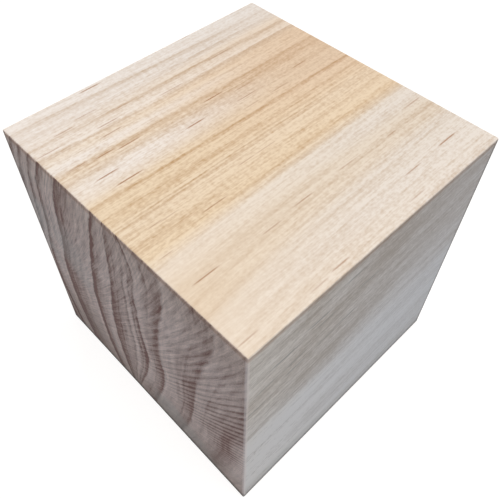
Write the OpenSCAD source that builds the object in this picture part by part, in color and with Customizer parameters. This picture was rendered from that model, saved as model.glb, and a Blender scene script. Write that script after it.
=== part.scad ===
// Wooden cube: one solid block of pine, sawn and planed square, with lightly sanded arrises.
// It stands on the plane Z = 0, centred on the origin. The grain runs along Y, so the two
// faces across Y are end grain and the other four are long grain.

/* [Cube] */
// Length of every edge, measured from face to face
edge_length = 100; // [20:5:200]

/* [Sanding] */
// Radius to which the twelve arrises are sanded
arris_radius = 0.5; // [0.2:0.1:3]

/* [Hidden] */
$fn = 48;

// A square with rounded corners: two strips that cross, and a disc in each corner
module rounded_square(side, radius) {
    inset = side / 2 - radius;
    for (turn = [0, 90])
        rotate(turn) square([side, 2 * inset], center = true);
    for (x = [-inset, inset], y = [-inset, inset])
        translate([x, y]) circle(r = radius);
}

// A length of square stock along Z, as long as it is wide, with its four long arrises rounded
module rounded_stock(side, radius) {
    linear_extrude(height = side, center = true)
        rounded_square(side, radius);
}

// The cube is what three such lengths share when they cross at right angles: each of them
// rounds the four arrises that run its own way, and the corners come out where they meet.
module wooden_cube() {
    color("burlywood")
        translate([0, 0, edge_length / 2])
            intersection() {
                rounded_stock(edge_length, arris_radius);
                rotate([90, 0, 0]) rounded_stock(edge_length, arris_radius);
                rotate([0, 90, 0]) rounded_stock(edge_length, arris_radius);
            }
}

wooden_cube();
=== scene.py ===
# %% [markdown]
# # A solid cube of pine
#
# The object is one block of pine, sawn square, planed and lightly sanded. It has no
# joints and no separate parts, so everything that makes it look real is in its surface:
# growth rings that run through the whole block, saw marks on the end grain, fine fibres
# and resin streaks on the long grain, and arrises that are only just rounded.
#
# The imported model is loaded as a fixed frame: metres, +Z up, the cube standing on the
# origin, with the grain along Y. The faces across Y are end grain.

# %% Load the frame
import math
from types import SimpleNamespace

import bmesh
import bpy
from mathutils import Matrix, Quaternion, Vector, noise


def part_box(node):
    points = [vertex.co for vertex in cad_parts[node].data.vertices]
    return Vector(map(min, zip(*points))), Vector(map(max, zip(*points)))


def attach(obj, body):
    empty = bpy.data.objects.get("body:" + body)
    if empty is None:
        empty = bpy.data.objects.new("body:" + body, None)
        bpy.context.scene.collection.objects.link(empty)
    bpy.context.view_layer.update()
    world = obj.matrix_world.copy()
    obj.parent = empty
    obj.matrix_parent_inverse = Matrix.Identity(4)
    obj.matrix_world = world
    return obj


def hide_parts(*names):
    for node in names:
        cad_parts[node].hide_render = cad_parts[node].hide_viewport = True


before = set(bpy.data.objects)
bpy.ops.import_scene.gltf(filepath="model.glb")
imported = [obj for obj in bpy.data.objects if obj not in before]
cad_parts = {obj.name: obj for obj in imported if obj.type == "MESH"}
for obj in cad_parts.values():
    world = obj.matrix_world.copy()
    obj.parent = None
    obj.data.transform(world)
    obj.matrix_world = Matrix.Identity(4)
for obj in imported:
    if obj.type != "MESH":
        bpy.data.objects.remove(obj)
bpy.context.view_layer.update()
lowest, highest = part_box("wooden_cube")
EDGE = highest.x - lowest.x
HALF = EDGE / 2
MM = 0.001

# %% [markdown]
# ## Camera
#
# The cube is seen from close by and from above, over one vertical arris, which gives
# the strong perspective. A camera could be placed by typing a location and three
# angles, but it is easier to read as an orbit: how far round, how high and how far
# away, and then which point it aims at.

# %% Camera
ORBIT_DEG = 45.20
HEIGHT_DEG = 50.90
DISTANCE = 209.9 * MM
ROLL_DEG = 0.85
AIM = Vector((-3.39 * MM, 1.29 * MM, HALF))
LENS_MM = 42.94
SHIFT = (0.0115, -0.0282)
NEAREST_SEEN = 10 * MM


def orbit_direction(around, up):
    """The unit vector from what is aimed at to the camera, for two angles in degrees."""
    a, e = math.radians(around), math.radians(up)
    return Vector((math.sin(a) * math.cos(e), -math.cos(a) * math.cos(e), math.sin(e)))


back = orbit_direction(ORBIT_DEG, HEIGHT_DEG)
lens = bpy.data.cameras.new("camera")
lens.lens = LENS_MM
lens.shift_x, lens.shift_y = SHIFT
lens.clip_start = NEAREST_SEEN
camera = bpy.data.objects.new("camera", lens)
camera.location = AIM + back * DISTANCE
camera.rotation_mode = "QUATERNION"
roll = Quaternion((0, 0, 1), math.radians(ROLL_DEG))
camera.rotation_quaternion = back.to_track_quat("Z", "Y") @ roll
bpy.context.scene.collection.objects.link(camera)
bpy.context.scene.camera = camera
print("camera at, mm:", [round(c / MM, 1) for c in camera.location])

# %% [markdown]
# ## Node helpers
#
# A material is a small program drawn as boxes and wires. Written out in full, every
# box takes three or four lines, so two helpers keep the rest readable: one adds a box
# and fills its inputs, with numbers or with wires, and one does a sum.

# %% Node helpers
def fill(tree, node, inputs):
    """Gives a node's inputs their values, or wires them to other sockets."""
    for name, value in inputs.items():
        if isinstance(value, bpy.types.NodeSocket):
            tree.links.new(value, node.inputs[name])
        else:
            node.inputs[name].default_value = value
    return node.outputs


def add(tree, kind, inputs=None, **settings):
    """Adds a node with its settings, fills its inputs, and gives back its outputs."""
    node = tree.nodes.new(kind)
    for name, value in settings.items():
        setattr(node, name, value)
    return fill(tree, node, inputs or {})


def calc(tree, operation, *values, clamp=False):
    """One sum, such as calc(tree, "ADD", a, 2), as a socket."""
    inputs = dict(enumerate(values))
    return add(tree, "ShaderNodeMath", inputs, operation=operation, use_clamp=clamp)[0]


def new_tree(owner):
    """An empty node tree for a material or a world."""
    owner.use_nodes = True
    owner.node_tree.nodes.clear()
    return owner.node_tree


# %% [markdown]
# ## Floor
#
# The cube stands on a plain pale floor. It should look white, but a floor that really
# reflects that much would flood the sides of the cube with light. So only what is seen
# is white: rays that carry light to the cube meet a duller and slightly blue floor. The
# shadow is a real one in both cases.

# %% Floor
FLOOR_RADIUS = 3.0
FLOOR_SEGMENTS = 64
FLOOR_COLOUR = (0.44, 0.52, 0.64, 1)
FLOOR_SEEN_COLOUR = (0.30, 0.29, 0.28, 1)
FLOOR_GLOW_COLOUR = (1.0, 0.986, 0.984, 1)
FLOOR_SEEN_GLOW = 0.83


def seen_directly(tree):
    """1 for rays that show the surface: from the camera, in a reflection or through glass."""
    path = add(tree, "ShaderNodeLightPath")
    seen = calc(tree, "MAXIMUM", path["Is Camera Ray"], path["Is Glossy Ray"])
    return calc(tree, "MAXIMUM", seen, path["Is Transmission Ray"])


def floor_material():
    """A dull floor for the light, and a white one for the eye."""
    material = bpy.data.materials.new("floor")
    tree = new_tree(material)
    plain = add(tree, "ShaderNodeBsdfDiffuse", {"Color": FLOOR_COLOUR})[0]
    pale = add(tree, "ShaderNodeBsdfDiffuse", {"Color": FLOOR_SEEN_COLOUR})[0]
    glow = {"Color": FLOOR_GLOW_COLOUR, "Strength": FLOOR_SEEN_GLOW}
    glowing = add(tree, "ShaderNodeEmission", glow)[0]
    white = add(tree, "ShaderNodeAddShader", {0: pale, 1: glowing})[0]
    mixed = add(tree, "ShaderNodeMixShader", {0: seen_directly(tree), 1: plain, 2: white})[0]
    add(tree, "ShaderNodeOutputMaterial", {"Surface": mixed})
    return material


disc = bmesh.new()
bmesh.ops.create_circle(disc, cap_ends=True, radius=FLOOR_RADIUS, segments=FLOOR_SEGMENTS)
floor_mesh = bpy.data.meshes.new("floor")
disc.to_mesh(floor_mesh)
disc.free()
floor_mesh.materials.append(floor_material())
floor = bpy.data.objects.new("floor", floor_mesh)
bpy.context.scene.collection.objects.link(floor)
print("floor, m across:", 2 * FLOOR_RADIUS)

# %% [markdown]
# ## Light
#
# A wide, soft, warm lamp hangs almost overhead and makes the top face the brightest. A
# sun would give hard shadows, so the rest of the light comes from the room itself, dim
# and cool on every side. A small warm lamp, low behind the cube, keeps the two far faces
# from going dull. It isn't seen itself, and the room is seen as plain white.

# %% Light
ROOM_COLOUR = (0.67, 1.0, 1.38, 1)
ROOM_STRENGTH = 0.25
SEEN_WHITE = (1, 1, 1, 1)
KEY_COLOUR = (1.0, 0.92, 0.79)
FILL_COLOUR = (1.0, 0.90, 0.70)
LAMP_DISTANCE = 1.1


def soft_lamp(name, colour, watts, size, around, up):
    """A square lamp that faces the cube from that direction."""
    lamp = bpy.data.lights.new(name, "AREA")
    lamp.color = colour
    lamp.energy = watts
    lamp.size = size
    holder = bpy.data.objects.new(name, lamp)
    direction = orbit_direction(around, up)
    holder.location = Vector((0, 0, HALF)) + direction * LAMP_DISTANCE
    holder.rotation_mode = "QUATERNION"
    holder.rotation_quaternion = direction.to_track_quat("Z", "Y")
    bpy.context.scene.collection.objects.link(holder)
    return holder


def room():
    """Dim and cool for the light, and white for the eye."""
    world = bpy.data.worlds.new("room")
    tree = new_tree(world)
    dim = {"Color": ROOM_COLOUR, "Strength": ROOM_STRENGTH}
    lit = add(tree, "ShaderNodeBackground", dim)[0]
    white = add(tree, "ShaderNodeBackground", {"Color": SEEN_WHITE, "Strength": 1.0})[0]
    shown = add(tree, "ShaderNodeMixShader", {0: seen_directly(tree), 1: lit, 2: white})[0]
    add(tree, "ShaderNodeOutputWorld", {"Surface": shown})
    return world


soft_lamp("overhead_softbox", KEY_COLOUR, watts=10.65, size=0.9, around=73, up=75.5)
low_fill = soft_lamp("low_fill", FILL_COLOUR, watts=3.8, size=0.18, around=245, up=4)
low_fill.visible_camera = False
bpy.context.scene.world = room()
bpy.context.scene.view_settings.view_transform = "Standard"
print("lamps:", len(bpy.data.lights), "room strength:", ROOM_STRENGTH)

# %% [markdown]
# ## The block
#
# The block starts as a cube whose twelve arrises are bevelled to the radius that the
# sandpaper leaves. The flat faces are then cut into a fine grid, because the end grain
# is not flat: the saw that cross-cut it left shallow curved grooves. The grid is fine
# across X and Z, where the grooves run, and coarse along the grain.
#
# Subdividing only the long edges that run one way, one direction after another, keeps
# the grid square and leaves the small rounded corners alone. The borders between a flat
# face and its rounded strip are marked sharp, so that the flat is shaded flat to its end.

# %% Block with rounded arrises
ARRIS_RADIUS = 0.5 * MM
ARRIS_STEPS = 5
CUTS_ACROSS = 179
CUTS_ALONG = 19
GRID_CUTS = ((Vector((1, 0, 0)), CUTS_ACROSS), (Vector((0, 0, 1)), CUTS_ACROSS),
             (Vector((0, 1, 0)), CUTS_ALONG))
SQUARE_ON = 0.9999


def long_edges(mesh, direction):
    """The edges that run the whole length of the block in that direction."""
    found = []
    for edge in mesh.edges:
        run = edge.verts[1].co - edge.verts[0].co
        if abs(run.dot(direction)) > EDGE / 2:
            found.append(edge)
    return found


def is_flat(face):
    """Whether a face looks square along an axis, and so is not part of a rounded strip."""
    return max(abs(part) for part in face.normal) > SQUARE_ON


block = bmesh.new()
bmesh.ops.create_cube(block, size=EDGE)
bmesh.ops.translate(block, verts=block.verts, vec=(0, 0, HALF))
bmesh.ops.bevel(block, geom=block.edges[:], offset=ARRIS_RADIUS, offset_type="OFFSET",
                affect="EDGES", segments=ARRIS_STEPS, profile=0.5, material=-1)
for direction, cuts in GRID_CUTS:
    edges = long_edges(block, direction)
    bmesh.ops.subdivide_edges(block, edges=edges, cuts=cuts, use_grid_fill=True)
block.normal_update()
for edge in block.edges:
    one, other = edge.link_faces
    edge.smooth = is_flat(one) == is_flat(other)
print("block:", len(block.verts), "points,", len(block.faces), "faces")

# %% [markdown]
# ## Saw marks
#
# A circular saw cross-cut the block. Each tooth sweeps an arc of the blade's own
# radius, and the feed moves the next arc on a little, so the marks are one circle
# printed over and over, side by side. They could be drawn as a bump, but the hollows
# reach the arrises and show in their outline, so the mesh itself is cut. Where an arc
# lies is simple: take from X how far the blade's rim reaches at that height, and what is
# left is how far the feed had come.
#
# The feed was a little quicker at the start of the cut. The marks are deepest at
# mid-height, towards the side where the blade left the wood. Above, most of their depth
# was sanded away, and low down all of it.

# %% Saw marks in the mesh
BLADE_RADIUS = 200 * MM
BLADE_CENTRE_HEIGHT = 180 * MM
FEED = 2.7 * MM
FEED_MIDDLE = -129.7 * MM
FEED_SLOWING = 0.75 / 1000
GROOVE_DEPTH = 0.05 * MM
DEPTH_AT_START = 0.3
DEPTH_NEAR_TOP = 0.3
MARKS_FADE = (30 * MM, 44 * MM)
MARKS_SLOPE = 0.3
MARKS_TOP_FADE = (30 * MM, 60 * MM)
MARKS_TOP_SLOPE = 0.5
UNEVEN_SIZE = 4 * MM
UNEVEN_LEAST = 0.8
UNEVEN_MORE = 0.4


def blend_between(start, end, value):
    """0 up to start and 1 from end on, with a soft curve between."""
    t = min(1.0, max(0.0, (value - start) / (end - start)))
    return t * t * (3 - 2 * t)


def feed_travel(x, z):
    """How far the feed had come when the blade's rim passed this point."""
    drop = BLADE_CENTRE_HEIGHT - z
    return x - math.sqrt(BLADE_RADIUS ** 2 - drop ** 2)


def groove(x, z):
    """0 on a ridge and 1 in the bottom of a groove."""
    travel = feed_travel(x, z)
    turns = travel / FEED + FEED_SLOWING * ((travel - FEED_MIDDLE) / MM) ** 2
    return 0.5 - 0.5 * math.cos(2 * math.pi * turns)


def groove_strength(x, z):
    """Marks are deepest towards +X, and fade out low on the face and towards its top."""
    across = DEPTH_AT_START + (1 - DEPTH_AT_START) * blend_between(-HALF, HALF, x)
    high_up = blend_between(*MARKS_TOP_FADE, z - MARKS_TOP_SLOPE * x)
    low_down = blend_between(*MARKS_FADE, z + MARKS_SLOPE * x)
    return across * (1 - (1 - DEPTH_NEAR_TOP) * high_up) * low_down


deepest = 0.0
for vert in block.verts:
    x, y, z = vert.co
    into_end = (abs(y) - (HALF - ARRIS_RADIUS)) / ARRIS_RADIUS
    if into_end <= 0:
        continue
    along = x if y < 0 else -x
    depth = GROOVE_DEPTH * groove(along, z) * groove_strength(along, z) * into_end
    depth *= UNEVEN_LEAST + UNEVEN_MORE * noise.noise(vert.co / UNEVEN_SIZE)
    vert.co.y -= math.copysign(depth, y)
    deepest = max(deepest, depth)
print("deepest saw mark, mm:", round(deepest / MM, 3))

# %% Finish the block's mesh
for face in block.faces:
    face.smooth = True
bmesh.ops.recalc_face_normals(block, faces=block.faces)
block_mesh = bpy.data.meshes.new("pine_block")
block.to_mesh(block_mesh)
block.free()
pine_block = bpy.data.objects.new("pine_block", block_mesh)
bpy.context.scene.collection.objects.link(pine_block)
print("triangles:", sum(len(p.vertices) - 2 for p in block_mesh.polygons))

# %% [markdown]
# ## Ramps, noise and groups
#
# Wood has soft edges and uneven marks, and no two are alike. A ramp turns a distance
# into a soft edge, and a cloud of noise makes it uneven. An image of noise would repeat
# and stretch, but a Noise Texture on the block's own coordinates runs through the whole
# block. What is needed more than once is a node group, with named inputs and outputs,
# which is built once and then placed like any other node.

# %% Sums and ramps
def product(tree, first, *others):
    """Everything multiplied together."""
    total = first
    for other in others:
        total = calc(tree, "MULTIPLY", total, other)
    return total


def plus(tree, start, value, times):
    """start + value * times."""
    return calc(tree, "MULTIPLY_ADD", value, times, start)


def split(tree, position):
    """X, Y and Z of a position."""
    return add(tree, "ShaderNodeSeparateXYZ", {0: position})


def remap(tree, value, start, end, to_start=0.0, to_end=1.0, kind="SMOOTHSTEP"):
    """value, taken from start..end to to_start..to_end and held at the ends.

    A row of numbers that is named as a ramp holds these four, or only the first two.
    """
    inputs = {"Value": value, "From Min": start, "From Max": end,
              "To Min": to_start, "To Max": to_end}
    return add(tree, "ShaderNodeMapRange", inputs, interpolation_type=kind)["Result"]


# %% Noise
def cloud(tree, position, size, stretch=1.0, detail=2.0, roughness=0.5):
    """Smooth noise about 0, with blobs of a size in mm, longer along the grain by stretch."""
    across = 1 / (size * MM)
    scale = (across, across / stretch, across)
    scaled = add(tree, "ShaderNodeMapping", {"Vector": position, "Scale": scale})[0]
    inputs = {"Vector": scaled, "Scale": 1.0, "Detail": detail, "Roughness": roughness}
    return plus(tree, -1, add(tree, "ShaderNodeTexNoise", inputs)["Fac"], 2)


# %% Node groups
def group(name, inputs, outputs):
    """An empty node group with named sockets, each input given as name: kind."""
    tree = bpy.data.node_groups.new(name, "ShaderNodeTree")
    for label, kind in inputs.items():
        tree.interface.new_socket(label, in_out="INPUT", socket_type="NodeSocket" + kind)
    for label in outputs:
        tree.interface.new_socket(label, in_out="OUTPUT", socket_type="NodeSocketFloat")
    given = tree.nodes.new("NodeGroupInput").outputs
    result = tree.nodes.new("NodeGroupOutput")
    return tree, given, result


def use(tree, made, inputs):
    """Places a node group in a material or in another group."""
    placed = tree.nodes.new("ShaderNodeGroup")
    placed.node_tree = made
    return fill(tree, placed, inputs)


# %% [markdown]
# ## Growth rings
#
# Wood is solid: the bands on the end grain and the stripes on the long grain are the
# same rings, cut two ways. An image wrapped round the cube never agrees at the
# arrises, so the rings are worked out in space, and each face shows where it cuts them.
#
# Real rings are no circles. Six ring lines describe these, and each is a curve of
# millimetres from the left side of the end grain, at nine heights. Any point then slides
# along the lines to mid-height. How far across it lands there says which ring it is in,
# however the rings lean and bend.

# %% Ring lines
LINE_HEIGHTS = (0, 12.5, 25, 37.5, 50, 62.5, 75, 87.5, 100)
RING_LINES = (
    (16, 13, 11, 11, 12.5, 16, 18.5, 21.5, 27.5),
    (33, 30, 28.8, 29, 29.8, 32.5, 35.2, 39.2, 43),
    (40.5, 38.5, 37.8, 38, 39.5, 42.3, 44.8, 46.3, 48),
    (44, 48, 52.5, 55.5, 55, 55, 55.5, 57.5, 54),
    (53, 56.5, 60.5, 63, 62.5, 63.5, 66, 69, 68),
    (67.5, 71.5, 75, 77, 78.5, 81, 84, 87.5, 88))
CURVE_SIZE = 100
MID_HEIGHT = LINE_HEIGHTS.index(CURVE_SIZE / 2)
MID_LINES = [line[MID_HEIGHT] for line in RING_LINES]


def ring_line(tree, height, line):
    """How far across one ring stands, in mm, at a height given as a share of the edge."""
    curve = tree.nodes.new("ShaderNodeFloatCurve")
    points = curve.mapping.curves[0].points
    while len(points) < len(line):
        points.new(0.5, 0.5)
    for point, up, across in zip(points, LINE_HEIGHTS, line):
        point.location = (up / CURVE_SIZE, across / CURVE_SIZE)
    curve.mapping.update()
    tree.links.new(height, curve.inputs["Value"])
    return product(tree, curve.outputs["Value"], CURVE_SIZE)


def slide_to_mid_height(tree, across, height):
    """How far across, in mm, the same ring stands at mid-height."""
    lines = [ring_line(tree, height, line) for line in RING_LINES]
    outside = calc(tree, "MINIMUM", calc(tree, "SUBTRACT", across, lines[0]), 0)
    total = calc(tree, "ADD", outside, MID_LINES[0])
    for i in range(len(lines) - 1):
        gap = MID_LINES[i + 1] - MID_LINES[i]
        held = i < len(lines) - 2
        inputs = {"Value": across, "From Min": lines[i], "From Max": lines[i + 1], "To Max": gap}
        part = add(tree, "ShaderNodeMapRange", inputs, clamp=held)["Result"]
        total = calc(tree, "ADD", total, calc(tree, "MAXIMUM", part, 0))
    return total


print("ring lines:", len(RING_LINES), "at mid-height, mm:", MID_LINES)

# %% [markdown]
# ## Spring wood and autumn wood
#
# Within one ring the wood goes from pale spring wood, slowly, to dark autumn wood, and
# then the next spring starts at once. That one-sided edge is what the eye reads as pine,
# and a plain wave or noise can't give it.
#
# One ring is a small group of nodes, placed once for every ring. It is told where the
# ring's dark edge is at mid-height, which way it faces, how wide its dark band is and how
# dark it gets. The dark edges face away from the pith: left on its left side, and right
# on its right side. Some rings also have a thin second line inside the band.

# %% Ring list
LEFT, RIGHT = -1, 1
RING_FIELDS = ("Edge", "Facing", "Width", "Darkness", "Edge line", "Second", "Softness")
# edge mm, facing, band width mm, band darkness, edge line darkness,
# second line mm inside the edge (0 for none), softness of the edge mm
RINGS = (
    (-10.5, LEFT, 3, 0.4, 0.75, 1.6, 0.6),
    (-6.4, LEFT, 3.5, 0.45, 0.75, 2.0, 0.6),
    (-1.4, LEFT, 3.5, 0.55, 0.75, 1.8, 0.6),
    (3.3, LEFT, 5.5, 0.7, 0.75, 4.5, 0.6),
    (12.5, LEFT, 18, 0.9, 0.6, 3.2, 0.8),
    (29.8, LEFT, 7.5, 0.95, 1.0, 0, 0.8),
    (39.5, LEFT, 12, 0.8, 0.35, 3.5, 1.0),
    (48.5, RIGHT, 3, 0.35, 0.35, 0, 1.0),
    (52.3, RIGHT, 2, 0.3, 0.6, 0, 0.5),
    (54.7, RIGHT, 5, 0.6, 0.55, 0, 0.8),
    (62.5, RIGHT, 9, 0.65, 0.15, 3.6, 1.4),
    (78.5, RIGHT, 14, 0.6, 0.05, 4.6, 1.6),
    (95.5, RIGHT, 20, 0.5, 0.05, 11, 8.5))
print("rings:", len(RINGS))

# %% One ring
INSIDE_EDGE = 0.1
BAND_FADE_POWER = 1.7
EDGE_LINE = (2.6, 0.3)
SECOND_LINE_HALF_WIDTH = 0.7
SECOND_LINE_DARKNESS = 0.6
NO_SECOND_BELOW = 0.5


def one_ring():
    """How dark one ring makes a point: its broad band, and its thin lines."""
    inputs = dict.fromkeys(("Across", *RING_FIELDS), "Float")
    tree, given, result = group("One ring", inputs, ("Band", "Line"))
    past_edge = calc(tree, "SUBTRACT", given["Edge"], given["Across"])
    inward = product(tree, past_edge, given["Facing"])
    inside = remap(tree, inward, product(tree, given["Softness"], -1), INSIDE_EDGE)
    fade = remap(tree, inward, given["Width"], 0, kind="LINEAR")
    fade = calc(tree, "POWER", fade, BAND_FADE_POWER)
    band = product(tree, inside, fade, given["Darkness"])

    edge_line = product(tree, remap(tree, inward, *EDGE_LINE), inside, given["Edge line"])
    from_second = calc(tree, "ABSOLUTE", calc(tree, "SUBTRACT", inward, given["Second"]))
    has_second = calc(tree, "GREATER_THAN", given["Second"], NO_SECOND_BELOW)
    second = product(tree, remap(tree, from_second, SECOND_LINE_HALF_WIDTH, 0),
                     given["Darkness"], has_second, SECOND_LINE_DARKNESS)
    fill(tree, result, {"Band": band, "Line": calc(tree, "MAXIMUM", edge_line, second)})
    return tree


one_ring_group = one_ring()
print("one ring:", len(one_ring_group.nodes), "nodes")

# %% [markdown]
# ## All the rings
#
# The pith, the middle of the tree, lies just right of the block's own middle. A tree
# tapers, so towards the back the rings stand a little closer to its pith. Real rings
# also waver, so a slow noise and a quick one push every point a little across before it
# slides to its ring.

# %% Growth rings group
PITH_ACROSS = 54
LEFT_LEAN_REACH = 15
RIGHT_LEAN_REACH = 46
LEFT_LEAN_BACK = 1.6
RIGHT_LEAN_BACK = 9.0
RIGHT_LEAN_POWER = 2.4
# size of the waves mm, stretch along the grain, how far they push mm
WAVER = ((16, 6, 0.8), (3, 20, 0.7))
UNEVEN_LINE_SIZE = 6
UNEVEN_LINE_STRETCH = 5
UNEVEN_LINES = (-0.4, 0.3, 0.3, 1.3)


def lean_to_pith(tree, across, height):
    """The shift, in mm, that brings the rings nearer the pith at the very back."""
    left_end = PITH_ACROSS - LEFT_LEAN_REACH
    right_end = PITH_ACROSS + RIGHT_LEAN_REACH
    left = remap(tree, across, PITH_ACROSS, left_end, 0, -LEFT_LEAN_BACK)
    right = remap(tree, across, PITH_ACROSS, right_end, 0, RIGHT_LEAN_BACK, kind="LINEAR")
    upwards = calc(tree, "POWER", height, RIGHT_LEAN_POWER)
    return plus(tree, left, right, upwards)


def growth_rings():
    """Band and Line are 0 in spring wood and 1 in autumn wood. Back is 1 at the back."""
    tree, given, result = group("Growth rings", {"Position": "Vector"},
                                ("Band", "Line", "Across", "Back"))
    position = given["Position"]
    x, y, z = split(tree, position)
    across = plus(tree, HALF / MM, x, 1 / MM)
    height = product(tree, z, 1 / EDGE)
    front = plus(tree, 0.5, y, -1 / EDGE)
    back = calc(tree, "SUBTRACT", 1, product(tree, front, front))

    moved = plus(tree, across, lean_to_pith(tree, across, height), back)
    for size, stretch, push in WAVER:
        moved = plus(tree, moved, cloud(tree, position, size, stretch), push)
    landed = slide_to_mid_height(tree, moved, height)

    band, line = 0.0, 0.0
    for row in RINGS:
        inputs = {"Across": landed, **dict(zip(RING_FIELDS, row))}
        ring = use(tree, one_ring_group, inputs)
        band = calc(tree, "MAXIMUM", ring["Band"], band)
        line = calc(tree, "MAXIMUM", ring["Line"], line)
    uneven = cloud(tree, position, UNEVEN_LINE_SIZE, UNEVEN_LINE_STRETCH)
    line = product(tree, line, remap(tree, uneven, *UNEVEN_LINES, kind="LINEAR"))
    fill(tree, result, {"Band": band, "Line": line, "Across": landed, "Back": back})
    return tree


rings_group = growth_rings()
print("growth rings:", len(rings_group.nodes), "nodes")

# %% [markdown]
# ## Fibres
#
# Between the rings, planed pine shows its fibres: streaks from half a millimetre to two
# wide, and many millimetres long. They are noise, stretched along the grain. Straight
# noise would cut across the rings, so the broadest streaks are read at the ring position
# instead of at X, and follow them. Sanding leaves a soft mottle over the fibres, and the
# planer's knives left ripples across the grain, too faint to feel.

# %% Fibres group
SLOW_HEIGHT = 0.12
# size mm, stretch along the grain, detail, roughness
FIBRE_NOISE = {
    "Fine": (0.45, 14, 2, 0.6),
    "Threads": (1.4, 32, 2, 0.5),
    "Streaks": (1.6, 60, 2, 0.5),
    "Mottle": (0.8, 1.8, 1, 0.6),
    "Ripples": (9, 0.14, 1, 0.5),
    "Pores": (0.5, 4, 2, 0.5)}


def fibres():
    """Noises about 0 that make the long grain fibrous and the end grain porous."""
    tree, given, result = group("Fibres", {"Position": "Vector", "Across": "Float"},
                                FIBRE_NOISE)
    _, y, z = split(tree, given["Position"])
    ring_metres = product(tree, given["Across"], MM)
    followed = {"X": ring_metres, "Y": y, "Z": product(tree, z, SLOW_HEIGHT)}
    along_rings = add(tree, "ShaderNodeCombineXYZ", followed)[0]
    for name, settings in FIBRE_NOISE.items():
        position = along_rings if name == "Streaks" else given["Position"]
        fill(tree, result, {name: cloud(tree, position, *settings)})
    return tree


fibres_group = fibres()
print("fibres:", ", ".join(FIBRE_NOISE))

# %% [markdown]
# ## Resin canals
#
# Fine tubes of resin run along the grain, and a planed face cuts them into short brown
# dashes. Each dash could be an image, but a capsule in space is simpler: a point of the
# wood is inside it or not, and its ends taper by themselves.
#
# The clearest dashes are listed. A program measured where they lie and how long they
# are, and the values are rounded. Elsewhere a Voronoi pattern, stretched along the
# grain, scatters fainter ones, and only some of its cells get a canal. The same
# capsule, made much wider, marks a few patches of the top that have stayed pale.

# %% Measured canals, and pale patches
TOP = 100
SIDE = 50
TOP_RADIUS = 0.36
SIDE_RADIUS = 0.60
# across mm, along mm, length mm, strength
TOP_CANALS = (
    (-48.5, -21, 7, 1), (-39, -29, 8, 0.5), (-37, -38, 5.5, 0.6), (-35, -20, 7, 0.4),
    (-34.5, 19.5, 12, 0.5), (-32.5, -45.5, 8, 0.6), (-31.5, -26.5, 7, 0.7), (-31, -3.5, 12, 0.5),
    (-27.5, -28, 8, 0.7), (-22.5, -43, 5, 0.5), (-21.5, -35, 5.5, 0.8), (-20.5, -27.5, 8, 0.9),
    (-19.5, 3.5, 7, 0.9), (-17, 13.5, 6.5, 0.5), (-14.5, -39, 7, 1), (-14, -8.5, 7, 1),
    (-13, 11, 8, 0.6), (-13, 34.5, 6, 0.6), (-9.5, -35.5, 10, 1), (-9, 9.5, 5.5, 0.4),
    (-9, 21.5, 7, 0.5), (7, -8.5, 6, 0.5), (7, -1, 9, 0.4), (8, -36.5, 5.5, 0.4),
    (13, -25.5, 9.5, 0.7), (23.5, 45, 7, 0.6), (27, 10, 5, 0.4), (27.5, -8, 6, 0.6),
    (28, -42, 8, 0.8), (28.5, -20.5, 5.5, 0.5), (40, 38.5, 9, 0.9), (40.5, 21.5, 6, 0.6),
    (46.5, -46.5, 5, 0.5), (47, 15, 5, 0.4), (47.5, -17, 5, 0.7), (48, -25, 5, 0.4))
# height mm, along mm, length mm, strength
SIDE_CANALS = (
    (93.5, -12.5, 3.5, 0.8), (87, -25, 6, 1), (84.5, -5, 5.5, 1), (83.5, -37, 7, 1),
    (83.5, -21.5, 3.5, 0.8), (76.5, -43.5, 7, 0.7), (76.5, -32.5, 5.5, 0.9), (74, -12, 6, 0.8),
    (73, -19.5, 5.5, 0.8), (72, -32.5, 4, 0.9), (68, -47, 4, 0.7))
# across mm, along mm, length mm, half width mm, strength
PALE_PATCHES = (
    (-14.5, -17, 30, 7, 1.0), (-25, -14, 50, 2.2, 0.6), (21, 38, 26, 5, 0.5), (42, 25, 50, 7, 0.5))
print("canals listed:", len(TOP_CANALS) + len(SIDE_CANALS))

# %% Capsule
CAPSULE_TAPER = (1, 0.12, 1)


def vector_calc(tree, operation, *vectors):
    """One sum on vectors, as a socket. Only a length comes out as a number."""
    outputs = add(tree, "ShaderNodeVectorMath", dict(enumerate(vectors)), operation=operation)
    return outputs["Value"] if operation == "LENGTH" else outputs["Vector"]


def capsule():
    """A soft capsule along Y, in mm, that fades outwards and tapers to its ends."""
    tree, given, result = group("Capsule", {
        "Position": "Vector", "Centre": "Vector", "Half length": "Float", "Radius": "Float",
        "Strength": "Float"}, ("Inside",))
    offset = vector_calc(tree, "SUBTRACT", given["Position"], given["Centre"])
    away = vector_calc(tree, "ABSOLUTE", offset)
    half = add(tree, "ShaderNodeCombineXYZ", {"Y": given["Half length"]})[0]
    past = vector_calc(tree, "MAXIMUM", vector_calc(tree, "SUBTRACT", away, half))
    distance = vector_calc(tree, "LENGTH", vector_calc(tree, "MULTIPLY", past, CAPSULE_TAPER))
    inside = remap(tree, distance, given["Radius"], 0)
    fill(tree, result, {"Inside": product(tree, inside, given["Strength"])})
    return tree


capsule_group = capsule()
print("capsule:", len(capsule_group.nodes), "nodes")

# %% Resin canals group
# the share of a canal's length that is straight; the rest is its tapered ends
CANAL_STRAIGHT = 0.5
SCATTER_SCALE = (0.35, 0.03, 0.35)
SCATTER_EMPTY = 0.6
SCATTER_RADIUS = (0.10, 0.03)
SCATTER_STRENGTH = 0.5


def capsules(tree, position, rows):
    """The strongest of many capsules: centre, straight length, radius and strength."""
    total = 0.0
    for centre, straight, radius, strength in rows:
        inputs = {"Position": position, "Centre": centre, "Half length": straight / 2,
                  "Radius": radius, "Strength": strength}
        total = calc(tree, "MAXIMUM", use(tree, capsule_group, inputs)["Inside"], total)
    return total


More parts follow.
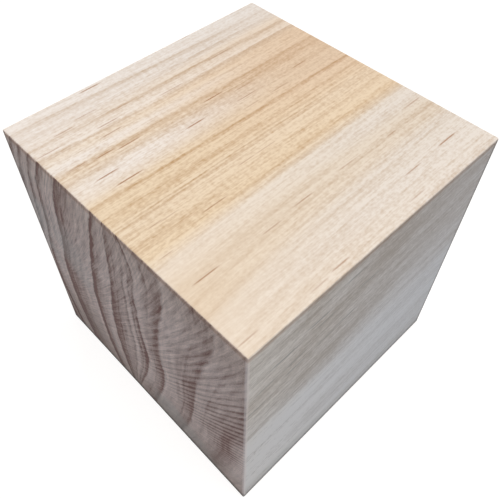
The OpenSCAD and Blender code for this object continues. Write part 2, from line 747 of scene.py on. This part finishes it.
def scattered_canals(tree, position):
    """Fainter dashes, in some of the cells of a pattern that is long along the grain."""
    inputs = {"Vector": position, "Scale": SCATTER_SCALE}
    scaled = add(tree, "ShaderNodeMapping", inputs)[0]
    cells = add(tree, "ShaderNodeTexVoronoi", {"Vector": scaled, "Scale": 1.0})
    chance = add(tree, "ShaderNodeSeparateColor", {0: cells["Color"]})[0]
    chosen = calc(tree, "GREATER_THAN", chance, SCATTER_EMPTY)
    near = remap(tree, cells["Distance"], *SCATTER_RADIUS)
    return product(tree, chosen, near, SCATTER_STRENGTH)


def resin_canals():
    """Resin is 1 inside a canal, and Pale is 1 in wood that has stayed pale."""
    tree, given, result = group("Resin canals", {"Position": "Vector"}, ("Resin", "Pale"))
    to_mm = {0: given["Position"], "Scale": 1 / MM}
    in_mm = add(tree, "ShaderNodeVectorMath", to_mm, operation="SCALE")[0]
    canals = []
    for x, y, length, strength in TOP_CANALS:
        canals.append(((x, y, TOP), length * CANAL_STRAIGHT, TOP_RADIUS, strength))
    for z, y, length, strength in SIDE_CANALS:
        canals.append(((SIDE, y, z), length * CANAL_STRAIGHT, SIDE_RADIUS, strength))
    patches = []
    for x, y, length, radius, strength in PALE_PATCHES:
        patches.append(((x, y, TOP), length - 2 * radius, radius, strength))
    placed = capsules(tree, in_mm, canals)
    resin = calc(tree, "MAXIMUM", placed, scattered_canals(tree, in_mm))
    fill(tree, result, {"Resin": resin, "Pale": capsules(tree, in_mm, patches)})
    return tree


resin_group = resin_canals()
print("resin canals:", len(resin_group.nodes), "nodes")

# %% [markdown]
# ## Saw marks in the material
#
# The mesh already has the grooves. Torn fibres and dust also darken them, so the
# material repeats the same sum in nodes, which keeps the shade in its groove. The
# distance along the feed also carries fine scratches: noise that is quick across the
# arcs and slow along them.

# %% Saw marks group
GROOVE_SHARPNESS = 1.7
GROOVE_ACROSS = (-HALF, HALF, 0.2, 1.2)
GROOVE_NEAR_TOP = 0.6
GROOVE_IN_SPRING = 0.65
MORE_IN_AUTUMN = 0.6
PATCH_SIZE = 5
PATCHES_MEAN = 0.9
PATCHES_CHANGE = 0.5
SCRATCH_SIZE = 0.6
SCRATCH_LENGTH = 12
SCRATCHES_FADE = (0, HALF, 1, 0.6)


def groove_shade(tree, travel):
    """0 on a ridge and 1 in the bottom of a groove, as groove() gives for the mesh."""
    from_middle = plus(tree, -FEED_MIDDLE / MM, travel, 1 / MM)
    slowing = product(tree, from_middle, from_middle, FEED_SLOWING)
    turns = plus(tree, slowing, travel, 1 / FEED)
    wave = calc(tree, "COSINE", product(tree, turns, 2 * math.pi))
    return calc(tree, "POWER", plus(tree, 0.5, wave, -0.5), GROOVE_SHARPNESS)


def groove_shade_strength(tree, position, along, height, band):
    """How much the grooves darken: patchily, most at mid-height and in autumn wood."""
    patchy = plus(tree, PATCHES_MEAN, cloud(tree, position, PATCH_SIZE), PATCHES_CHANGE)
    low_slope = plus(tree, height, along, MARKS_SLOPE)
    high_slope = plus(tree, height, along, -MARKS_TOP_SLOPE)
    return product(tree, patchy,
                   remap(tree, along, *GROOVE_ACROSS),
                   remap(tree, low_slope, *MARKS_FADE),
                   remap(tree, high_slope, *MARKS_TOP_FADE, 1.0, GROOVE_NEAR_TOP),
                   plus(tree, GROOVE_IN_SPRING, band, MORE_IN_AUTUMN))


def saw_marks():
    """Groove is the shade in the marks, and Scratches a noise about 0 that follows them."""
    tree, given, result = group("Saw marks", {"Position": "Vector", "Band": "Float"},
                                ("Groove", "Scratches"))
    x, y, z = split(tree, given["Position"])
    along = product(tree, x, calc(tree, "SIGN", y), -1)
    drop = calc(tree, "SUBTRACT", BLADE_CENTRE_HEIGHT, z)
    square = plus(tree, BLADE_RADIUS ** 2, product(tree, drop, drop), -1)
    travel = calc(tree, "SUBTRACT", along, calc(tree, "SQRT", square))

    shade = groove_shade(tree, travel)
    strength = groove_shade_strength(tree, given["Position"], along, z, given["Band"])
    arc = add(tree, "ShaderNodeCombineXYZ", {"X": travel, "Y": z})[0]
    scratches = product(tree, cloud(tree, arc, SCRATCH_SIZE, SCRATCH_LENGTH),
                        remap(tree, along, *SCRATCHES_FADE, kind="LINEAR"))
    fill(tree, result, {"Groove": product(tree, shade, strength), "Scratches": scratches})
    return tree


saw_group = saw_marks()
print("saw marks:", len(saw_group.nodes), "nodes")

# %% [markdown]
# ## Arrises
#
# Sanding takes the sharp corner off each arris. Two of the upright ones get a painted
# highlight, as if they caught the light, and the other two a fine dark line. Just below
# the top, a painted warm glow makes the wood a little browner, as light shining through
# the thin arris would. The foot gets painted contact shade: darkest where the block
# stands, and fading upwards.
#
# A Bevel node could find the arrises, but the shape is known. On the surface of a
# block, one distance to its faces is nothing, and each arris is where another is small.

# %% Arris group
# from where the effect starts to where it is full, as distances to the face or the arris
# painted highlight on two upright arrises, where they would catch the light
HIGHLIGHT_REACH = (1.0 * MM, 0.4 * MM)
DARK_ARRIS_REACH = (2.2 * MM, 0.7 * MM)
BELOW_TOP = (0.2 * MM, 0.6 * MM)
# painted warm glow just below the top, of light shining through the thin arris
BROWN_REACH = (2.6 * MM, 1.2 * MM)
BROWN_BELOW_TOP = (0.3 * MM, 0.7 * MM)
# painted contact shade at the foot, fading upwards
FOOT_REACH = (4.4 * MM, 0.6 * MM)


def to_face(tree, coordinate):
    """How deep a point lies under the nearer of two opposite faces."""
    return calc(tree, "SUBTRACT", HALF, calc(tree, "ABSOLUTE", coordinate))


def arrises():
    """Four masks, each 1 where its effect is full."""
    tree, given, result = group("Arrises", {"Position": "Vector"},
                                ("Pale", "Dark arris", "Brown", "Foot"))
    x, y, z = split(tree, given["Position"])
    to_top = calc(tree, "SUBTRACT", EDGE, z)
    upright = calc(tree, "MAXIMUM", to_face(tree, x), to_face(tree, y))
    below_top = remap(tree, to_top, *BELOW_TOP)
    dark_arrises = calc(tree, "GREATER_THAN", product(tree, x, y), 0)
    # painted highlight on the upright arrises that have no dark line
    pale = remap(tree, upright, *HIGHLIGHT_REACH)
    pale = calc(tree, "SUBTRACT", pale, dark_arrises, clamp=True)
    fill(tree, result, {
        "Pale": product(tree, pale, below_top),
        "Dark arris": product(tree, remap(tree, upright, *DARK_ARRIS_REACH), dark_arrises, below_top),
        "Brown": product(tree, remap(tree, to_top, *BROWN_REACH),
                         remap(tree, to_top, *BROWN_BELOW_TOP)),
        "Foot": remap(tree, z, *FOOT_REACH)})
    return tree


arris_group = arrises()
print("arrises:", len(arris_group.nodes), "nodes")

# %% [markdown]
# ## Colours of the wood
#
# Pine isn't one brown. Its sapwood is nearly white and its heart golden, or amber
# towards the back. One colour for the block with noise over it would look painted, so
# the colour follows the same ring position as everything else: a Color Ramp holds, for
# each ring, how golden, how amber and how streaky the wood is there.

# %% Colours of the wood
def srgb(red, green, blue):
    """A colour as it is picked on a screen, 0 to 255, as the linear one that nodes take."""
    linear = []
    for value in (red / 255, green / 255, blue / 255):
        linear.append(value / 12.92 if value <= 0.04045 else ((value + 0.055) / 1.055) ** 2.4)
    return (*linear, 1)


# mixed in
PALE_WOOD = srgb(252, 240, 232)
GOLDEN_WOOD = srgb(243, 217, 185)
AMBER_WOOD = srgb(238, 209, 181)
END_SPRING = srgb(246, 215, 197)
END_AUTUMN = srgb(103, 63, 53)
RESIN = srgb(166, 110, 68)
SIDE_RESIN = srgb(168, 152, 138)
RUBBED_WOOD = srgb(194, 184, 172)
# painted highlight of two upright arrises
HIGHLIGHT_EDGE = srgb(252, 227, 213)
# multiplied in
AUTUMN_TINT = (0.62, 0.48, 0.34, 1)
SIDE_TINT = (0.58, 0.52, 0.465, 1)
GREYED = (0.84, 0.855, 0.865, 1)
# painted shade, low on the sides and low on the end grain
LOW_SHADE = (0.62, 0.605, 0.585, 1)
TOP_TINT = (0.96, 0.95, 0.92, 1)
# painted warm glow below the top arris
BROWN_GLOW_TINT = (0.80, 0.69, 0.61, 1)
DARK_ARRIS_TINT = (0.46, 0.46, 0.46, 1)
# painted contact shade at the foot
FOOT_CONTACT_SHADE = (0.05, 0.045, 0.045, 1)
print("pale wood, linear:", [round(c, 3) for c in PALE_WOOD[:3]])

# %% Mixing helpers
# A Mix node has sockets for every kind of data, told apart by number: two in, one out.
MIX_SOCKETS = {"FLOAT": (2, 3, 0), "RGBA": (6, 7, 2)}


def mix(tree, kind, factor, a, b, **settings):
    """a where the factor is 0, and b where it is 1."""
    first, second, mixed = MIX_SOCKETS[kind]
    inputs = {0: factor, first: a, second: b}
    return add(tree, "ShaderNodeMix", inputs, data_type=kind, **settings)[mixed]


def mix_value(tree, factor, a, b):
    return mix(tree, "FLOAT", factor, a, b)


def mix_colour(tree, factor, a, b):
    return mix(tree, "RGBA", factor, a, b)


def darkened(tree, colour, amount, tint):
    """A colour multiplied by a tint, as far as amount says."""
    return mix(tree, "RGBA", amount, colour, tint, blend_type="MULTIPLY")


# %% Warmth of the rings
WARMTH_START, WARMTH_END = -20, 125
FAR_BACK_POWER = 3
# ring position mm, how golden at the front and at the back, how amber at the back,
# how streaky
WARMTH = (
    (-14, 0.0, 0.0, 0, 0.6),
    (-6, 0.0, 0.05, 0.1, 0.65),
    (-2.5, 0.1, 0.4, 0.4, 0.8),
    (3, 0.15, 0.2, 0.4, 0.95),
    (6, 0.4, 0.7, 0.9, 1),
    (10.5, 0.0, 0.55, 1, 1),
    (14, 0.6, 0.8, 1, 1),
    (26, 0.5, 0.85, 1, 0.8),
    (30, 0.9, 1, 1, 1),
    (45, 0.95, 0.95, 0.6, 1),
    (55, 0.8, 0.8, 0.2, 1),
    (61, 0.95, 0.95, 0.1, 1),
    (64, 0.42, 0.32, 0, 0.5),
    (70, 0.65, 0.5, 0, 0.4),
    (76, 0.7, 0.5, 0, 0.5),
    (79.5, 0.5, 0.2, 0, 0.4),
    (88, 0.45, 0.34, 0, 0.5),
    (95, 0.42, 0.12, 0, 0.6),
    (103, 0.26, 0.03, 0, 0.6),
    (120, 0.25, 0.05, 0, 0.8))


def warmth(tree, across, back):
    """How golden, amber and streaky the wood is, by its ring. Amber shows at the back."""
    ramp = tree.nodes.new("ShaderNodeValToRGB")
    elements = ramp.color_ramp.elements
    while len(elements) < len(WARMTH):
        elements.new(1.0)
    for element, (at, *amounts) in zip(elements, WARMTH):
        element.position = (at - WARMTH_START) / (WARMTH_END - WARMTH_START)
        element.color = amounts
    share = remap(tree, across, WARMTH_START, WARMTH_END, kind="LINEAR")
    tree.links.new(share, ramp.inputs["Fac"])
    parts = add(tree, "ShaderNodeSeparateColor", {0: ramp.outputs["Color"]})
    at_front, at_back, amber = parts
    far_back = calc(tree, "POWER", back, FAR_BACK_POWER)
    golden = mix_value(tree, back, at_front, at_back)
    return golden, product(tree, amber, far_back), ramp.outputs["Alpha"]


print("warmth is given at", len(WARMTH), "ring positions")

# %% Read the wood
FACE_BLEND = (HALF - 0.25 * MM, HALF - 0.05 * MM)


def read_wood(tree):
    """Every pattern at a point of the block, by name, ready to be mixed."""
    position = add(tree, "ShaderNodeTexCoord")["Object"]
    wood = SimpleNamespace(position=position)
    wood.x, wood.y, wood.z = split(tree, position)
    rings = use(tree, rings_group, {"Position": position})
    wood.band, wood.line, wood.across, wood.back = rings
    wood.fibre = use(tree, fibres_group, {"Position": position, "Across": wood.across})
    wood.resin = use(tree, resin_group, {"Position": position})
    wood.saw = use(tree, saw_group, {"Position": position, "Band": wood.band})
    wood.arris = use(tree, arris_group, {"Position": position})
    wood.end = remap(tree, calc(tree, "ABSOLUTE", wood.y), *FACE_BLEND)
    wood.side = remap(tree, calc(tree, "ABSOLUTE", wood.x), *FACE_BLEND)
    wood.golden, wood.amber, wood.streaky = warmth(tree, wood.across, wood.back)
    wood.even = calc(tree, "SUBTRACT", 1, wood.streaky)
    return wood


# %% [markdown]
# ## Long grain
#
# The top, the underside and two of the sides show long grain. It could be one stretched
# noise, but each real mark has its own reason and place: the rings' bands and lines, and
# the fibres. So their darkness is added up, mark by mark, and says how far the wood is
# tinted.
#
# The sides are duller than the top. Their fibres show most at the front end, where the
# plane tore them a little. Painted shade darkens them low towards the back, near the foot
# and in part high up, and painted bounced light makes them paler low at the front.

# %% Rings on the long grain
BAND_ON_TOP = 0.20
BAND_ON_SIDE = (0, 0.45, 0, 0.50)
# the sides darken high up: partly the wood, partly painted shade
HIGH_ON_SIDE = (70 * MM, 98 * MM, 0, 0.09)
LINE_ON_TOP = 0.38
LINE_ON_SIDE = 0.25


def rings_on_long_grain(tree, wood):
    """How much the autumn wood darkens: broad bands, and a line at the edge of each."""
    band_on_top = product(tree, wood.band, BAND_ON_TOP)
    band_on_side = remap(tree, wood.band, *BAND_ON_SIDE)
    high_up = remap(tree, wood.z, *HIGH_ON_SIDE)
    bands = mix_value(tree, wood.side, band_on_top, calc(tree, "ADD", band_on_side, high_up))
    line = mix_value(tree, wood.side, LINE_ON_TOP, LINE_ON_SIDE)
    return plus(tree, bands, wood.line, line)


# %% Fibres on the long grain
# how much they darken, on the top and underside, and on the two sides
FIBRE_AMOUNTS = {
    "Streaks": (0.31, 0.33),
    "Threads": (0.32, 0.45),
    "Fine": (0.48, 0.50),
    "Mottle": (0.46, 0.42),
    "Ripples": (0.14, 0.0)}
EVEN_REACH = 1.2
FAR_LEFT_CALMER = (0, EDGE, 1.06, 0.68)
FULL_BAND = 0.25
DRAWN_IN_SPRING = (-HALF, -HALF / 3, 2.4, 0.75)
DRAWN_IN_AUTUMN = (-HALF, HALF, 1.1, 0.8)


def fibres_on_top(tree, wood):
    """How strongly fibres show on top. Even wood is calmer, above all at the front."""
    even_front = calc(tree, "SUBTRACT", EVEN_REACH, wood.back)
    shown = calc(tree, "SUBTRACT", 1, product(tree, wood.even, even_front))
    far_left = calc(tree, "SUBTRACT", wood.y, wood.x)
    return product(tree, shown, remap(tree, far_left, *FAR_LEFT_CALMER))


def fibres_on_side(tree, wood):
    """How strongly they show on a side: most in the spring wood of its front end."""
    in_autumn = remap(tree, wood.band, 0, FULL_BAND)
    return mix_value(tree, in_autumn, remap(tree, wood.y, *DRAWN_IN_SPRING),
                     remap(tree, wood.y, *DRAWN_IN_AUTUMN))


def fibres_on_long_grain(tree, wood, dark):
    """Adds all the fibres to how dark the wood is."""
    top = fibres_on_top(tree, wood)
    side = fibres_on_side(tree, wood)
    for name, (on_top, on_side) in FIBRE_AMOUNTS.items():
        on_top = product(tree, top, on_top)
        amount = mix_value(tree, wood.side, on_top, product(tree, side, on_side))
        dark = plus(tree, dark, wood.fibre[name], amount)
    return dark


# %% Extra streaks and the plain shade
FRONT_STREAKS = (-HALF, 10 * MM, 0.55, 0)
FRONT_STREAKS_LOW = (10 * MM, 40 * MM, 0.1, 1)
FRONT_STREAKS_HIGH = (90 * MM, 60 * MM, 0, 1)
GOLDEN_STREAKS = (40, 54, 0, 0.30)
SHADE_ON_TOP = 0.15
# painted shade: the sides are darker towards the back and lighter at the front
SHADE_ON_SIDE = (-HALF, -HALF / 3, -0.08, 0.15)
LOW_FRONT_HEIGHT = (30 * MM, 15 * MM)
LOW_FRONT_DEPTH = (0, -HALF)
# painted pool of bounced light, low at the front of the sides
LOW_FRONT_PAINTED_LIGHT = -0.16


def extra_streaks(tree, wood, dark):
    """Streaks that show at the front of the sides, and in the golden wood on top."""
    on_side = product(tree, wood.side,
                      remap(tree, wood.y, *FRONT_STREAKS),
                      remap(tree, wood.z, *FRONT_STREAKS_LOW),
                      remap(tree, wood.z, *FRONT_STREAKS_HIGH))
    golden = remap(tree, wood.across, *GOLDEN_STREAKS)
    dark = plus(tree, dark, wood.fibre["Streaks"], on_side)
    return plus(tree, dark, wood.fibre["Streaks"], product(tree, golden, wood.streaky))


def plain_and_painted_shade(tree, wood):
    """What darkens long grain between its marks. On the sides it is painted shade at the back, and
    painted bounced light low at the front.
    """
    painted_bounce = product(tree, remap(tree, wood.z, *LOW_FRONT_HEIGHT),
                        remap(tree, wood.y, *LOW_FRONT_DEPTH))
    on_side = remap(tree, wood.y, *SHADE_ON_SIDE)
    on_side = plus(tree, on_side, painted_bounce, LOW_FRONT_PAINTED_LIGHT)
    return mix_value(tree, wood.side, SHADE_ON_TOP, on_side)


# %% Colour of the long grain
# painted shade, low on the sides, more towards the back and at the foot
LOW_SHADE_SLOPE = -0.6
LOW_BACK_SHADE = (40 * MM, -20 * MM, 0, 0.35)
FOOT_SHADE_ON_SIDE = (14 * MM, 3 * MM, 0, 0.52)
RESIN_STRENGTH = 0.9


def painted_low_shade(tree, wood):
    """Painted shade on the sides: low down towards the back, and near the foot."""
    low_back = plus(tree, wood.z, wood.y, LOW_SHADE_SLOPE)
    low_back = remap(tree, low_back, *LOW_BACK_SHADE, kind="LINEAR")
    shade_amount = calc(tree, "MAXIMUM", low_back, remap(tree, wood.z, *FOOT_SHADE_ON_SIDE))
    return product(tree, shade_amount, wood.side)


def long_grain(tree, wood):
    """The colour of the top, the underside and the two sides across X."""
    not_pale = calc(tree, "SUBTRACT", 1, wood.resin["Pale"])
    golden = product(tree, wood.golden, not_pale)
    colour = mix_colour(tree, golden, PALE_WOOD, GOLDEN_WOOD)
    colour = mix_colour(tree, wood.amber, colour, AMBER_WOOD)
    colour = darkened(tree, colour, product(tree, wood.even, wood.back), GREYED)

    dark = rings_on_long_grain(tree, wood)
    dark = fibres_on_long_grain(tree, wood, dark)
    dark = extra_streaks(tree, wood, dark)
    dark = calc(tree, "ADD", dark, plain_and_painted_shade(tree, wood))
    dark = calc(tree, "MAXIMUM", dark, 0)
    tint = mix_colour(tree, wood.side, AUTUMN_TINT, SIDE_TINT)
    colour = darkened(tree, colour, dark, tint)
    colour = darkened(tree, colour, painted_low_shade(tree, wood), LOW_SHADE)
    resin = product(tree, wood.resin["Resin"], RESIN_STRENGTH)
    resin_colour = mix_colour(tree, wood.side, RESIN, SIDE_RESIN)
    return mix_colour(tree, resin, colour, resin_colour)


# %% [markdown]
# ## End grain
#
# The end grain is the same wood, but the light goes into its cut tubes and is lost, so
# it is darker and browner, with far more contrast between spring and autumn wood. A
# darker copy of the long grain would have the wrong marks, so it gets a sum of its own:
# rings, pores, grooves and scratches. Dust has settled in soft patches, rubbed in by
# sanding. Along the left arris the wood is darker, and painted shade darkens it low on
# the left and at the foot.

# %% Smears of dust
# across mm, height mm, half width mm, half height mm, strength
SMEARS = ((-46, 66, 10, 28, 0.40), (-31, 63, 13, 18, 0.28), (21, 7, 27, 10, 0.42))
SMEAR_RAGGED_SIZE = 9
SMEAR_EDGE = (1.2, 0.2)


def smears(tree, position):
    """Soft patches on the end grain that dust and sanding have made greyer."""
    ragged = cloud(tree, position, SMEAR_RAGGED_SIZE)
    total = 0.0
    for x, z, half_width, half_height, strength in SMEARS:
        offset = vector_calc(tree, "SUBTRACT", position, (x * MM, 0, z * MM))
        size = (1 / (half_width * MM), 0, 1 / (half_height * MM))
        away = vector_calc(tree, "LENGTH", vector_calc(tree, "MULTIPLY", offset, size))
        away = calc(tree, "SUBTRACT", away, ragged)
        patch = remap(tree, away, *SMEAR_EDGE, 0, strength)
        total = calc(tree, "MAXIMUM", patch, total)
    return total


print("smears of dust:", len(SMEARS))

# %% Colour of the end grain
END_BAND = (EDGE, 0, 0.55, 1.08)
END_LINE = 0.46
END_STREAKS = 0.35
END_PORES = 0.32
END_SCRATCHES = 0.50
END_GROOVES = 0.44
END_SHADE = 0.225
LEFT_ARRIS = (-HALF + 9 * MM, -HALF)
LEFT_ARRIS_SHADE = (35 * MM, 0, 0.05, 0.45)
NEAR_TOP = (72 * MM, EDGE)
# painted shade: the end grain darkens low down, most on the left
LOW_LEFT_SLOPE = 0.4
LOW_LEFT = (28 * MM, -6 * MM)


def end_darkness(tree, wood):
    """How dark the end grain is, from spring wood at 0 to autumn wood at 1."""
    low_down = remap(tree, wood.z, *END_BAND, kind="LINEAR")
    dark = product(tree, wood.band, low_down)
    left = remap(tree, wood.x, *LEFT_ARRIS, kind="LINEAR")
    for mark, amount in (
            (wood.line, END_LINE),
            (wood.fibre["Streaks"], END_STREAKS),
            (wood.fibre["Pores"], END_PORES),
            (wood.saw["Scratches"], END_SCRATCHES),
            (wood.saw["Groove"], END_GROOVES),
            (left, remap(tree, wood.z, *LEFT_ARRIS_SHADE))):
        dark = plus(tree, dark, mark, amount)
    return calc(tree, "ADD", dark, END_SHADE, clamp=True)


def end_grain(tree, wood):
    """The colour of the two faces across Y."""
    colour = mix_colour(tree, end_darkness(tree, wood), END_SPRING, END_AUTUMN)
    colour = mix_colour(tree, smears(tree, wood.position), colour, RUBBED_WOOD)
    colour = darkened(tree, colour, remap(tree, wood.z, *NEAR_TOP), TOP_TINT)
    # painted shade, low down and more on the left
    left = calc(tree, "MINIMUM", wood.x, 0)
    low_left = plus(tree, wood.z, left, LOW_LEFT_SLOPE)
    return darkened(tree, colour, remap(tree, low_left, *LOW_LEFT), LOW_SHADE)


# %% [markdown]
# ## Pine
#
# One material serves the whole block, because it is one piece of wood. It could be two,
# one for each kind of grain, but then the seam would run along the arrises. Here the two
# colours blend over the last quarter of a millimetre, and the arrises' painted highlight,
# glow and shade and their dark lines go on last. The finish is bare wood: rough, with a
# faint sheen on the dense autumn wood.

# %% Pine material
HIGHLIGHT_STRENGTH = 0.5
FOOT_ON_SIDE = 0.62
ROUGHNESS = 0.68
AUTUMN_ROUGHNESS = -0.08
BARE_WOOD_GLOSS = 0.2
FINE_RELIEF = 0.03 * MM
FINE_RELIEF_STRENGTH = 0.45


def arris_lines_and_painted_light(tree, wood, colour):
    """Painted highlight and warm glow, dark lines, and painted contact shade at the foot."""
    upright = calc(tree, "MAXIMUM", wood.side, wood.end)
    painted_highlight = product(tree, wood.arris["Pale"], upright, HIGHLIGHT_STRENGTH)
    colour = mix_colour(tree, painted_highlight, colour, HIGHLIGHT_EDGE)
    painted_glow = product(tree, wood.arris["Brown"], upright)
    colour = darkened(tree, colour, painted_glow, BROWN_GLOW_TINT)
    colour = darkened(tree, colour, wood.arris["Dark arris"], DARK_ARRIS_TINT)
    # painted contact shade at the foot, weaker on the sides
    foot_shade = product(tree, wood.arris["Foot"], mix_value(tree, wood.side, 1.0, FOOT_ON_SIDE))
    return darkened(tree, colour, foot_shade, FOOT_CONTACT_SHADE)


def pine_material():
    """Bare pine, long grain and end grain in one."""
    material = bpy.data.materials.new("pine")
    tree = new_tree(material)
    wood = read_wood(tree)
    colour = mix_colour(tree, wood.end, long_grain(tree, wood), end_grain(tree, wood))
    colour = arris_lines_and_painted_light(tree, wood, colour)
    height = mix_value(tree, wood.end, wood.fibre["Fine"], wood.saw["Scratches"])
    relief = {"Height": height, "Distance": FINE_RELIEF, "Strength": FINE_RELIEF_STRENGTH}
    surface = add(tree, "ShaderNodeBsdfPrincipled", {
        "Base Color": colour,
        "Roughness": plus(tree, ROUGHNESS, wood.band, AUTUMN_ROUGHNESS),
        "Normal": add(tree, "ShaderNodeBump", relief)[0],
        "Specular IOR Level": BARE_WOOD_GLOSS})
    add(tree, "ShaderNodeOutputMaterial", {"Surface": surface[0]})
    return material


pine = pine_material()
block_mesh.materials.append(pine)
print("material:", pine.name, "with", len(pine.node_tree.nodes), "nodes of its own")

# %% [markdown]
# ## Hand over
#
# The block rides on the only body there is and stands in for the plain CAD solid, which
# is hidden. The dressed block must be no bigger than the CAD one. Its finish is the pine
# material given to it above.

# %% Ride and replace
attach(pine_block, "root")
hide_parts("wooden_cube")
